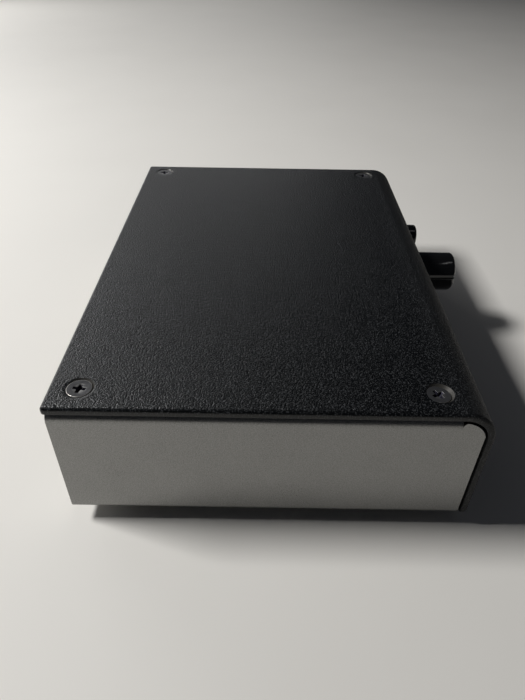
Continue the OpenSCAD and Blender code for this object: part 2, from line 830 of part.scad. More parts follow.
// A coil spring along Y: rings of points round the wire, joined into one closed tube
module switch_spring() {
    steps_per_turn = 16;
    wire_sides = 6;
    steps = steps_per_turn * spring_turns;
    rise = (spring_length - spring_wire) / steps;
    wire_radius = spring_wire / 2;
    function wire_point(step, out, along) =
        let (turn = 360 * step / steps_per_turn)
            [(spring_radius + out) * cos(turn), wire_radius + rise * step + along,
             (spring_radius + out) * sin(turn)];
    function ring(step) = [
        for (side = [0 : wire_sides - 1])
            let (around = 360 * side / wire_sides)
                wire_point(step, wire_radius * cos(around), wire_radius * sin(around))
    ];
    turn_gaps = [
        for (step = [steps_per_turn : steps])
            norm(wire_point(step, 0, 0) - wire_point(step - steps_per_turn, 0, 0)) - spring_wire
    ];
    echo(least_gap_between_spring_turns = min(turn_gaps));
    points = [for (step = [0 : steps]) each ring(step)];
    first_cap = [[for (side = [0 : wire_sides - 1]) side]];
    last_cap = [[for (side = [wire_sides - 1 : -1 : 0]) steps * wire_sides + side]];
    walls = [
        for (step = [0 : steps - 1]) for (side = [0 : wire_sides - 1])
            let (here = step * wire_sides, next = here + wire_sides, other = (side + 1) % wire_sides)
                each [[here + side, next + side, next + other], [here + side, next + other, here + other]]
    ];
    color("#b9bbbd") translate([button_x, slider_rear + part_gap, control_z])
        polyhedron(points, concat(first_cap, walls, last_cap));
}

module button_profile() {
    radius = button_diameter / 2;
    length = button_back - button_front;
    square([radius - button_rounding, length]);
    translate([0, button_rounding]) square([radius, length - button_rounding]);
    translate([radius - button_rounding, button_rounding]) circle(button_rounding);
}

module switch_button() {
    color("#0d0d0e") difference() {
        translate([button_x, button_front, control_z]) rotate([-90, 0, 0])
            rotate_extrude() button_profile();
        socket = rod_size + 2 * part_gap;
        translate([button_x - socket / 2, rod_tip - part_gap, control_z - socket / 2])
            cube([socket, button_back - rod_tip + cut_margin, socket]);
    }
}

// Everything is drawn in the case's own frame, then set on its feet
module placed() {
    translate([0, case_y, foot_height]) children();
}

placed() top_cover();
placed() chassis();
placed() cover_screws();
placed() clinch_nuts();
placed() rubber_feet();
placed() board_standoffs();
placed() board_screws();
placed() circuit_board();
placed() jack_housings();
placed() jack_sleeves();
placed() jack_inserts_white();
placed() jack_inserts_red();
placed() jack_contacts();
placed() jack_pins();
placed() jack_screws();
placed() volume_bushing();
placed() volume_housing();
placed() volume_tracks();
placed() volume_terminals();
placed() volume_shaft();
placed() volume_wipers();
placed() volume_knob();
placed() knob_clip();
placed() switch_housing();
placed() switch_terminals();
placed() switch_latch_pin();
placed() switch_spring();
placed() switch_plunger();
placed() switch_bridges();
placed() switch_button();
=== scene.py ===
from math import cos, pi, radians, sin

import bmesh
import bpy
from mathutils import Matrix, Vector


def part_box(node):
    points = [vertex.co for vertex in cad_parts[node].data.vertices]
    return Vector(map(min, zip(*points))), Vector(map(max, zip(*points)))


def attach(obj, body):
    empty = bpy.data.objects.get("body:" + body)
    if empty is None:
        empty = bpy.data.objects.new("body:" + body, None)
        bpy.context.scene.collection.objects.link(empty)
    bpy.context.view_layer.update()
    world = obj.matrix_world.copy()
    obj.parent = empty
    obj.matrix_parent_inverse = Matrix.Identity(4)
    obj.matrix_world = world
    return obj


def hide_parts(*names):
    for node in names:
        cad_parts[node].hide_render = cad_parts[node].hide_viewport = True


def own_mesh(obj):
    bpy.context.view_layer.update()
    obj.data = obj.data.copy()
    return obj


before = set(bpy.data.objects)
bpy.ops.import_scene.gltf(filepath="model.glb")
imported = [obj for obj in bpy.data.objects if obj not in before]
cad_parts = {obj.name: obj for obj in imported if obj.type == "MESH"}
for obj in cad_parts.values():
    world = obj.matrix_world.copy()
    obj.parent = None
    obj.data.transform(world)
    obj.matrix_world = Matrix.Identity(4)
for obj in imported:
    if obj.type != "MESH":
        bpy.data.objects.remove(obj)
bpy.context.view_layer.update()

MM = 0.001

# Sizes and places on the real object, in metres
SHEET = 1.6 * MM
COVER_BEND = 7 * MM
COVER_CORNER = 0.8 * MM
COVER_EDGE = 0.75 * MM
COATED_EDGE = 0.12 * MM
TRAY_SHEET = 1.2 * MM
FLANGE_WIDTH = 11 * MM
FLANGE_BEND = 2.8 * MM
FLOOR_BEND = 1.5 * MM
CHEEK_DEPTH = 4.95 * MM
CHEEK_GAP = 0.9 * MM
CHEEK_RADIUS = 5.15 * MM
CHEEK_CORNER = 1.1 * MM
REAR_CORNER = 1 * MM
FRONT_LIP = 8 * MM
SEAM = 0.15 * MM

SCREW_X = 57.5 * MM
SCREW_ROWS = (-30.025 * MM, 41.575 * MM)
SCREW_HEAD = 5.1 * MM
SCREW_THREAD = 3 * MM
SCREW_LENGTH = 6 * MM
HEAD_SINK = 0.05 * MM
HEAD_RIM = 0.1 * MM
RECESS_REACH = 1.8 * MM

# A screw's seat is cut by a cone: its length, how deep its middle lies, and its two radii
SEAT_SHIFT = (0.22 * MM, -0.21 * MM)
SEAT_CONE = 1.8 * MM
SEAT_MIDDLE = 0.65 * MM
SEAT_NARROW = 1.55 * MM
SEAT_WIDE = 3.04 * MM
SEAT_BARE = 3.4 * MM

# Radii of the plain holes
CLEARANCE_HOLE = 1.7 * MM
BUSHING_HOLE = 4 * MM
BUTTON_HOLE = 4.2 * MM
JACK_HOLE = 5.1 * MM
JACK_SCREW_HOLE = 1.5 * MM
NUT_HOLE = 2.2 * MM
STANDOFF_HOLE = 2.15 * MM

STANDOFF_X = 55.75 * MM
STANDOFF_ROWS = (-31.675 * MM, 26.225 * MM)
FOOT_RADIUS = 5.5 * MM
CONTROL_Z = 19.9 * MM
VOLUME_X = 16.6 * MM
BUTTON_X = 40.8 * MM
SPRING_FRONT = -26.925 * MM
SPRING_SEAT = -20.375 * MM
JACK_Z = 18.5 * MM
JACK_PAIRS = (-35 * MM, 0, 35 * MM)
JACK_HALF_PITCH = 7 * MM
JACK_SCREW_Z = 23.3 * MM

# How long a bar is that cuts a hole through a sheet, and how far other tools reach past what they cut
THROUGH = 4 * MM
OVERCUT = 1 * MM

POINTER_TURN = radians(-79)


# Modelling by hand: one piece in work at a time

def work_on(piece):
    """Makes the piece the only selected object, and the active one."""
    bpy.ops.object.select_all(action="DESELECT")
    piece.select_set(True)
    bpy.context.view_layer.objects.active = piece


def settle(name):
    """Names the object just added, and moves its place, turn and size into its mesh."""
    piece = bpy.context.object
    piece.name = name
    piece.data.name = name
    bpy.ops.object.transform_apply(location=True, rotation=True, scale=True)
    return piece


def block(name, low, high):
    """Adds a box between two corners."""
    low, high = Vector(low), Vector(high)
    bpy.ops.object.select_all(action="DESELECT")
    bpy.ops.mesh.primitive_cube_add(size=1, location=(low + high) / 2)
    bpy.context.object.scale = high - low
    return settle(name)


def rod(name, centre, radius, length, axis="Y", sides=64, tip_radius=None):
    """Adds a round bar, or a cone, along an axis."""
    turns = {"X": (0, pi / 2, 0), "Y": (-pi / 2, 0, 0), "Z": (0, 0, 0)}
    bpy.ops.object.select_all(action="DESELECT")
    bpy.ops.mesh.primitive_cone_add(
        vertices=sides, radius1=radius, radius2=radius if tip_radius is None else tip_radius,
        depth=length, location=centre, rotation=turns[axis])
    return settle(name)


def edit(piece, kind="FACE"):
    """Opens the piece in edit mode with nothing selected."""
    work_on(piece)
    bpy.ops.object.mode_set(mode="EDIT")
    bpy.ops.mesh.select_mode(type=kind)
    bpy.ops.mesh.select_all(action="DESELECT")


def close_edit():
    """Leaves edit mode."""
    bpy.ops.object.mode_set(mode="OBJECT")


def pick_faces(test):
    """Selects only the faces whose middle and normal pass the test."""
    mesh = bpy.context.edit_object.data
    bpy.ops.mesh.select_mode(type="FACE")
    bpy.ops.mesh.select_all(action="DESELECT")
    shape = bmesh.from_edit_mesh(mesh)
    for face in shape.faces:
        face.select_set(test(face.calc_center_median(), face.normal))
    bmesh.update_edit_mesh(mesh)


def pick_edges(test, sharp=0):
    """Selects only the edges whose two ends pass the test, and that are at least so sharp."""
    mesh = bpy.context.edit_object.data
    bpy.ops.mesh.select_mode(type="EDGE")
    bpy.ops.mesh.select_all(action="DESELECT")
    shape = bmesh.from_edit_mesh(mesh)
    for edge in shape.edges:
        edge.select_set(test(edge.verts[0].co, edge.verts[1].co) and edge.calc_face_angle(pi) >= sharp)
    bmesh.update_edit_mesh(mesh)


def near(value, place):
    """True where a coordinate is at a place, to a fiftieth of a millimetre."""
    return abs(value - place) < 0.02 * MM


def push(x, y, z):
    """Extrudes what is selected by a distance."""
    bpy.ops.mesh.extrude_region_move(TRANSFORM_OT_translate={"value": (x, y, z)})


def bend(centre, axis, quarter_turns, steps):
    """Sweeps what is selected round a bend line."""
    bpy.ops.mesh.spin(steps=steps, angle=quarter_turns * pi / 2, center=centre, axis=axis)


def resize(centre, x, y, z):
    """Scales what is selected about a centre."""
    bpy.ops.transform.resize(value=(x, y, z), center_override=centre)


def round_edges(width, segments):
    """Rounds the selected edges."""
    bpy.ops.mesh.bevel(offset=width, segments=segments, affect="EDGES", clamp_overlap=True)


def face_outwards():
    """Merges doubles and turns every face outwards, then leaves edit mode."""
    bpy.ops.mesh.select_all(action="SELECT")
    bpy.ops.mesh.remove_doubles(threshold=0.001 * MM)
    bpy.ops.mesh.normals_make_consistent(inside=False)
    close_edit()


def combine(piece, tool, operation):
    """Cuts the tool's shape from the piece, or joins it on, and throws the tool away."""
    work_on(piece)
    step = piece.modifiers.new("combine", "BOOLEAN")
    step.operation = operation
    step.solver = "EXACT"
    step.object = tool
    bpy.ops.object.modifier_apply(modifier=step.name)
    bpy.data.objects.remove(tool)


def cut(piece, tool):
    """Cuts the tool's shape from the piece."""
    combine(piece, tool, "DIFFERENCE")


def add_on(piece, tool):
    """Joins the tool's shape to the piece as one solid."""
    combine(piece, tool, "UNION")


def soften(piece, width, angle):
    """Rounds every edge of the piece that is sharper than an angle. Blender narrows the roundings of a whole
    piece where they would meet, so the width is only what is asked for."""
    work_on(piece)
    step = piece.modifiers.new("soften", "BEVEL")
    step.width = width
    step.segments = 2
    step.limit_method = "ANGLE"
    step.angle_limit = radians(angle)
    bpy.ops.object.modifier_apply(modifier=step.name)


def smooth(piece, angle):
    """Shades the piece smooth, apart from the edges sharper than an angle."""
    work_on(piece)
    bpy.ops.object.shade_smooth_by_angle(angle=radians(angle))


def keep_flats_flat(piece):
    """Lets the large faces set the shading at their rims, so that roundings and holes don't shade them."""
    work_on(piece)
    step = piece.modifiers.new("flat_faces", "WEIGHTED_NORMAL")
    step.keep_sharp = True
    bpy.ops.object.modifier_apply(modifier=step.name)


def turned(name, centre, profile, sides, ring=False):
    """Turns a piece about the Y line through centre: a circle is extruded from station to station of
    the profile, (y, radius) in metres. A ring's profile ends where it starts; otherwise both ends close."""
    start_y, radius = profile[0]
    bpy.ops.object.select_all(action="DESELECT")
    bpy.ops.mesh.primitive_circle_add(
        vertices=sides, radius=radius, location=(centre[0], start_y, centre[2]), rotation=(pi / 2, 0, 0))
    piece = settle(name)
    edit(piece, "EDGE")
    bpy.ops.mesh.select_all(action="SELECT")
    at_y = start_y
    for y, next_radius in profile[1:]:
        push(0, y - at_y, 0)
        scale = next_radius / radius
        resize((centre[0], y, centre[2]), scale, 1, scale)
        at_y, radius = y, next_radius
    if not ring:
        bpy.ops.mesh.select_non_manifold()
        bpy.ops.mesh.fill_holes(sides=0)
    face_outwards()
    return piece


def turned_upright(name, centre, profile, sides):
    """Turns a closed piece about the upright line through centre, from stations (z, radius)."""
    start_z, radius = profile[0]
    bpy.ops.object.select_all(action="DESELECT")
    bpy.ops.mesh.primitive_circle_add(vertices=sides, radius=radius, location=(centre[0], centre[1], start_z))
    piece = settle(name)
    edit(piece, "EDGE")
    bpy.ops.mesh.select_all(action="SELECT")
    at_z = start_z
    for z, next_radius in profile[1:]:
        push(0, 0, z - at_z)
        scale = next_radius / radius
        resize((centre[0], centre[1], z), scale, scale, 1)
        at_z, radius = z, next_radius
    bpy.ops.mesh.select_non_manifold()
    bpy.ops.mesh.fill_holes(sides=0)
    face_outwards()
    return piece


def rounding(centre, radius, start, stop, steps):
    """Stations along an arc: centre and radius in the profile's own two axes, angles in degrees."""
    spread = [start + (stop - start) * step / steps for step in range(steps + 1)]
    return [(centre[0] + radius * cos(radians(angle)), centre[1] + radius * sin(radians(angle)))
            for angle in spread]


def copy_to(piece, name, offset, turn=0, about=(0, 0, 0)):
    """Copies a piece with its own mesh, turned about the upright line at about, then moved."""
    copy = piece.copy()
    copy.data = piece.data.copy()
    copy.name = name
    copy.data.name = name
    bpy.context.collection.objects.link(copy)
    there = Matrix.Translation(Vector(about))
    copy.data.transform(Matrix.Translation(Vector(offset)) @ there @ Matrix.Rotation(turn, 4, "Z")
                        @ there.inverted())
    return copy


def fit(piece, body, slot, *nodes):
    """Gives the piece its body and the finish of its slot, and hides the solids it stands for."""
    piece.data.materials.clear()
    piece.data.materials.append(FINISHES[slot])
    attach(piece, body)
    if nodes:
        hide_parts(*nodes)


# Finishes: shader maths is written as expressions on node outputs

class Signal:
    """A node's output that can be added, multiplied and so on; each step adds a Math node."""

    def __init__(self, finish, socket):
        self.finish = finish
        self.socket = socket

    def maths(self, operation, *terms):
        node = self.finish.node("Math", {"operation": operation}, dict(enumerate(terms)))
        return Signal(self.finish, node.outputs[0])

    def __add__(self, other):
        return self.maths("ADD", self, other)

    def __sub__(self, other):
        return self.maths("SUBTRACT", self, other)

    def __rsub__(self, other):
        return self.maths("SUBTRACT", other, self)

    def __mul__(self, other):
        return self.maths("MULTIPLY", self, other)

    def __pow__(self, other):
        return self.maths("POWER", self, other)

    __radd__ = __add__
    __rmul__ = __mul__

    def band(self, low, high):
        """0 below low, 1 above high, and a straight ramp between them."""
        node = self.finish.node("MapRange", {"clamp": True}, {
            "Value": self, "From Min": low, "From Max": high})
        return Signal(self.finish, node.outputs["Result"])


class Finish:
    """One material: a Principled shader and the nodes that feed it."""

    def __init__(self, name, **values):
        self.material = bpy.data.materials.new(name)
        self.material.use_nodes = True
        self.tree = self.material.node_tree
        self.shader = self.tree.nodes["Principled BSDF"]
        self.place = self.node("TexCoord").outputs["Object"]
        for socket, value in values.items():
            self.shader.inputs[socket.replace("_", " ")].default_value = value

    def node(self, kind, settings=None, values=None):
        """Adds a node, sets it, then gives its inputs their values or links."""
        node = self.tree.nodes.new("ShaderNode" + kind)
        for name, value in (settings or {}).items():
            setattr(node, name, value)
        for name, value in (values or {}).items():
            self.give(node.inputs[name], value)
        return node

    def give(self, target, value):
        """Links a signal or socket to an input, or sets the input's value."""
        if isinstance(value, Signal):
            value = value.socket
        if isinstance(value, bpy.types.NodeSocket):
            self.tree.links.new(value, target)
        else:
            target.default_value = value

    def feed(self, socket, value):
        self.give(self.shader.inputs[socket], value)

    def noise(self, size, detail, roughness, stretch=None):
        """Cloudy pattern with features of a real size in metres, stretched where asked."""
        place = self.place
        if stretch:
            place = self.node("Mapping", None, {"Vector": place, "Scale": stretch}).outputs[0]
        node = self.node("TexNoise", None, {
            "Vector": place, "Scale": 1 / size, "Detail": detail, "Roughness": roughness})
        return Signal(self, node.outputs["Fac"])

    def cells(self, size):
        """Distance to the nearest of scattered points, for grains of a real size."""
        node = self.node("TexVoronoi", {"feature": "F1"}, {"Vector": self.place, "Scale": 1 / size})
        return Signal(self, node.outputs["Distance"])

    def mix(self, factor, first, second):
        """Blends two colours."""
        node = self.node("Mix", {"data_type": "RGBA"})
        for socket, value in ((node.inputs[0], factor), (node.inputs[6], first), (node.inputs[7], second)):
            self.give(socket, value)
        return node.outputs[2]

    def bump(self, height, depth, strength):
        """Raises the surface by a height signal, to a real depth in metres."""
        node = self.node("Bump", None, {"Height": height, "Distance": depth, "Strength": strength})
        self.feed("Normal", node.outputs["Normal"])

    def coordinate(self, axis):
        """One coordinate of the point being shaded."""
        return Signal(self, self.node("SeparateXYZ", None, {"Vector": self.place}).outputs[axis])

    def distance_from_middle(self, axis):
        """How far a point is from the case's middle, along one axis."""
        along = self.coordinate(axis)
        return along.maths("ABSOLUTE", along)

    def distance_from_seats(self):
        """How far a point is from the nearest cover screw, seen from above."""
        x = self.distance_from_middle("X") - SCREW_X
        y = self.coordinate("Y")
        first, second = ((x * x + (y - row) * (y - row)) ** 0.5 for row in SCREW_ROWS)
        return first.maths("MINIMUM", first, second)

    def attribute(self, name):
        """A number painted on the piece's own mesh."""
        return Signal(self, self.node("Attribute", {"attribute_name": name}).outputs["Fac"])


def dimmed(colour, share):
    """A colour with all its channels at a share of their level."""
    return tuple(share * channel for channel in colour[:3]) + (1,)


def powder_coat():
    """Black textured powder coat: wrinkled grains that glint where they face the lamp, and sparse lighter
    speckles painted into its colour as painted glints.
    The screw seats are cut through it, down to bare turned metal."""
    finish = Finish("powder_coat", Specular_IOR_Level=0.38)
    bare = finish.attribute("bare")
    # Painted glints: sparse lighter speckles in the coat's colour, the same from every side
    painted_glint_specks = finish.noise(0.28 * MM, 0, 0.5).band(0.59, 0.70)
    coat = finish.mix(painted_glint_specks, (0.0012, 0.0016, 0.0020, 1), (0.038, 0.040, 0.042, 1))
    finish.feed("Base Color", finish.mix(bare, coat, (0.050, 0.047, 0.042, 1)))
    finish.feed("Metallic", 0.3 * bare)

    # The coat is duller towards the front panel
    cloud = finish.noise(9 * MM, 2, 0.5)
    front = (0 - finish.coordinate("Y")).band(29 * MM, 38 * MM)
    finish.feed("Roughness", 0.28 + 0.02 * cloud + 0.30 * front + 0.10 * bare)

    # Two sizes of grain lie over each other, flatter at the screw seats and on the sheet's side edges
    fine, coarse = finish.cells(0.30 * MM), finish.cells(0.46 * MM)
    grain = 1 - 0.65 * fine ** 2 - 0.35 * coarse ** 2
    off_seats = finish.distance_from_seats().band(2.9 * MM, 3.3 * MM)
    sheet_edge = finish.distance_from_middle("X").band(62.7 * MM, 63.1 * MM)
    relief = (1 - bare) * (1 - 0.85 * sheet_edge) * (0.25 + 0.75 * off_seats) * grain
    finish.bump(relief, 0.155 * MM, 1.0)
    return finish.material


def silver_paint():
    """Silver-grey metallic paint: fine flake sparkle over a slightly uneven coat."""
    finish = Finish("silver_paint", Metallic=0.95, Specular_IOR_Level=0.5)
    flake = finish.noise(0.24 * MM, 1, 0.6)
    cloud = finish.noise(14 * MM, 3, 0.55)
    tone = 0.7 * flake.band(0.3, 0.7) + 0.3 * cloud
    finish.feed("Base Color", finish.mix(tone, (0.170, 0.170, 0.166, 1), (0.320, 0.319, 0.310, 1)))
    finish.feed("Roughness", 0.24 + 0.05 * cloud + 0.05 * flake)
    finish.bump(finish.noise(0.4 * MM, 2, 0.5), 0.03 * MM, 0.6)
    return finish.material


def worn_black_steel():
    """Black zinc screw: slate grey, with the plating worn bright along the rims, and painted shade in the
    recess.
    """
    finish = Finish("black_zinc", Specular_IOR_Level=0.5)
    scratch = finish.noise(0.25 * MM, 3, 0.6, stretch=(1, 0.25, 1))
    blotch = finish.noise(0.8 * MM, 3, 0.6)
    wear = finish.attribute("worn")
    worn = (wear * (0.55 + 0.9 * blotch)).band(0.35, 0.85)
    recess = finish.attribute("recess")
    plated = finish.mix(blotch, (0.13, 0.13, 0.134, 1), (0.19, 0.19, 0.194, 1))
    # Painted shade: the recess is coloured darker than the plating round it
    plated_with_painted_recess_shade = finish.mix(recess, plated, (0.020, 0.019, 0.030, 1))
    finish.feed("Base Color", finish.mix(worn, plated_with_painted_recess_shade, (0.62, 0.60, 0.56, 1)))
    finish.feed("Metallic", 0.85 + 0.15 * worn)
    finish.feed("Roughness", 0.26 + 0.16 * scratch + 0.08 * blotch + 0.25 * recess)
    finish.bump(scratch, 0.012 * MM, 0.6)
    return finish.material


def moulded(name, colour, roughness, grain=0.25, depth=0.012, shade=0.82, **values):
    """Moulded or painted stuff: one colour that clouds a little, with a fine skin."""
    finish = Finish(name, **values)
    cloud = finish.noise(3 * MM, 3, 0.55)
    skin = finish.noise(grain * MM, 2, 0.55)
    finish.feed("Base Color", finish.mix(0.65 * cloud + 0.35 * skin, dimmed(colour, shade), colour))
    finish.feed("Roughness", roughness - 0.06 + 0.12 * skin)
    finish.bump(skin, depth * MM, 0.6)
    return finish.material


def metal(name, colour, roughness, stretch=(1, 1, 1)):
    """Bare or plated metal: drawn or turned lines, and tarnish in patches."""
    finish = Finish(name, Metallic=1.0)
    lines = finish.noise(0.18 * MM, 3, 0.6, stretch=stretch)
    patches = finish.noise(1.8 * MM, 3, 0.6)
    finish.feed("Base Color", finish.mix(0.7 * patches + 0.3 * lines, dimmed(colour, 0.72), colour))
    finish.feed("Roughness", roughness + 0.14 * patches + 0.08 * lines)
    finish.bump(lines, 0.006 * MM, 0.5)
    return finish.material


def solder_mask():
    """Green board: copper tracks raised under the mask, over a faint glass weave."""
    finish = Finish("solder_mask", Specular_IOR_Level=0.5)
    tracks = finish.node("TexBrick", {"offset": 0.5}, {
        "Vector": finish.place, "Scale": 1 / (9 * MM), "Mortar Size": 0.03,
        "Brick Width": 0.9, "Row Height": 0.35})
    line = 1 - Signal(finish, tracks.outputs["Fac"])
    weave = finish.noise(0.3 * MM, 2, 0.5)
    cloud = finish.noise(12 * MM, 2, 0.5)
    mask = finish.mix(0.7 * line + 0.3 * cloud, (0.030, 0.110, 0.050, 1), (0.012, 0.060, 0.028, 1))
    finish.feed("Base Color", mask)
    finish.feed("Roughness", 0.28 + 0.12 * weave)
    finish.bump(0.2 * weave - line, 0.03 * MM, 0.6)
    return finish.material


FINISHES = {
    "cover_black": powder_coat(),
    "chassis_grey": silver_paint(),
    "screw_black": worn_black_steel(),
    "zinc_steel": metal("zinc_plate", (0.62, 0.63, 0.65, 1), 0.28),
    "foot_rubber": moulded("black_rubber", (0.022, 0.022, 0.023, 1), 0.72, grain=0.35, depth=0.03),
    "board_green": solder_mask(),
    "jack_black": moulded("jack_plastic", (0.020, 0.020, 0.021, 1), 0.42, grain=0.2),
    "jack_nickel": metal("nickel_plate", (0.70, 0.67, 0.61, 1), 0.30, stretch=(1, 12, 1)),
    "jack_white": moulded("white_plastic", (0.80, 0.79, 0.75, 1), 0.35, grain=0.3, depth=0.008, shade=0.93),
    "jack_red": moulded("red_plastic", (0.52, 0.030, 0.028, 1), 0.35, grain=0.3, depth=0.008, shade=0.85),
    "contact_brass": metal("brass", (0.83, 0.62, 0.28, 1), 0.22, stretch=(1, 6, 1)),
    "pin_tin": metal("tinned_pin", (0.68, 0.68, 0.66, 1), 0.30),
    "bushing_zinc": metal("die_cast_zinc", (0.56, 0.57, 0.58, 1), 0.34),
    "pot_blue": moulded("blue_housing", (0.030, 0.060, 0.130, 1), 0.40, grain=0.3),
    "track_brown": moulded("track_board", (0.20, 0.11, 0.05, 1), 0.50, grain=0.2, depth=0.01),
    "shaft_aluminium": metal("turned_aluminium", (0.72, 0.72, 0.73, 1), 0.26, stretch=(1, 8, 1)),
    "wiper_white": moulded("wiper_plastic", (0.68, 0.65, 0.56, 1), 0.45, grain=0.3, depth=0.01, shade=0.9),
    "knob_black": moulded("knob_plastic", (0.0045, 0.0045, 0.0048, 1), 0.13, grain=0.6, depth=0.003,
                          shade=0.8, Coat_Weight=0.4, Coat_Roughness=0.08),
    "spring_steel": metal("spring_wire", (0.58, 0.58, 0.59, 1), 0.24),
    "switch_cream": moulded("switch_plastic", (0.66, 0.60, 0.45, 1), 0.45, grain=0.3, shade=0.9),
    "plunger_white": moulded("plunger_plastic", (0.72, 0.71, 0.67, 1), 0.40, grain=0.3, depth=0.01,
                             shade=0.93),
    "button_black": moulded("button_plastic", (0.0050, 0.0050, 0.0053, 1), 0.20, grain=0.5, depth=0.004,
                            shade=0.8, Coat_Weight=0.3, Coat_Roughness=0.12),
}


# Case

def quarter_cutter(name, centre_y, centre_z, radius, toward_y, toward_z, half_length):
    """What rounding takes off an edge along X: a block with a round bar taken out of it."""
    reach = radius + OVERCUT
    ys = sorted((centre_y, centre_y + toward_y * reach))
    zs = sorted((centre_z, centre_z + toward_z * reach))
    tool = block(name, (-half_length, ys[0], zs[0]), (half_length, ys[1], zs[1]))
    cut(tool, rod("bar", (0, centre_y, centre_z), radius, 2 * (half_length + OVERCUT), "X", sides=192))
    return tool


def make_cover():
    """Top and front panel: one sheet, swept from the panel's foot, round the bend and back to the rear."""
    low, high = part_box("top_cover")
    width = high.x - low.x
    bpy.ops.object.select_all(action="DESELECT")
    bpy.ops.mesh.primitive_plane_add(size=1, location=(0, low.y + SHEET / 2, low.z))
    bpy.context.object.scale = (width, SHEET, 1)
    cover = settle("cover_sheet")
    edit(cover)
    bpy.ops.mesh.select_all(action="SELECT")
    push(0, 0, high.z - COVER_BEND - low.z)
    bend((0, low.y + COVER_BEND, high.z - COVER_BEND), (1, 0, 0), 1, 28)
    push(0, high.y - low.y - COVER_BEND, 0)
    face_outwards()

    def at_free_corner(point):
        return near(abs(point.x), high.x) and (near(point.y, high.y) or near(point.z, low.z))

    def on_outer_face(point):
        off_y, off_z = point.y - low.y - COVER_BEND, point.z - high.z + COVER_BEND
        if off_y < 0 and off_z > 0:
            return near((off_y ** 2 + off_z ** 2) ** 0.5, COVER_BEND)
        return near(point.z, high.z) or near(point.y, low.y)

    # The free corners are rounded in plan; then the coat rounds the outer edges, and the inner ones less
    edit(cover, "EDGE")
    pick_edges(lambda a, b: at_free_corner(a) and at_free_corner(b) and near(a.x, b.x))
    round_edges(COVER_CORNER, 6)
    pick_edges(lambda a, b: on_outer_face(a) and on_outer_face(b), radians(40))
    round_edges(COVER_EDGE, 6)
    close_edit()
    soften(cover, COATED_EDGE, 50)

    # Countersunk seats for the screws, and the holes of the two controls
    for side in (-1, 1):
        for y in SCREW_ROWS:
            at = (side * SCREW_X + SEAT_SHIFT[0], y + SEAT_SHIFT[1])
            cut(cover, rod("seat", (*at, high.z - SEAT_MIDDLE), SEAT_NARROW, SEAT_CONE, "Z", 96, SEAT_WIDE))
            cut(cover, rod("clearance", (*at, high.z - SHEET), CLEARANCE_HOLE, 1.2 * MM, "Z", 64))
    for x, radius in ((VOLUME_X, BUSHING_HOLE), (BUTTON_X, BUTTON_HOLE)):
        cut(cover, rod("control_hole", (x, low.y + SHEET / 2, CONTROL_Z), radius, THROUGH))
    mark_bare_seats(cover, high.z)
    smooth(cover, 30)
    keep_flats_flat(cover)
    return cover


def mark_bare_seats(cover, top):
    """Marks the faces near the screws that lie below the top, because the seats are cut through the coat."""
    bare = cover.data.attributes.new("bare", "FLOAT", "FACE")
    for face in cover.data.polygons:
        x, y, z = face.center
        off_x = abs(x) - SCREW_X
        in_seat = any((off_x ** 2 + (y - row) ** 2) ** 0.5 < SEAT_BARE for row in SCREW_ROWS)
        bare.data[face.index].value = 1.0 if in_seat and z < top - 0.01 * MM else 0.0


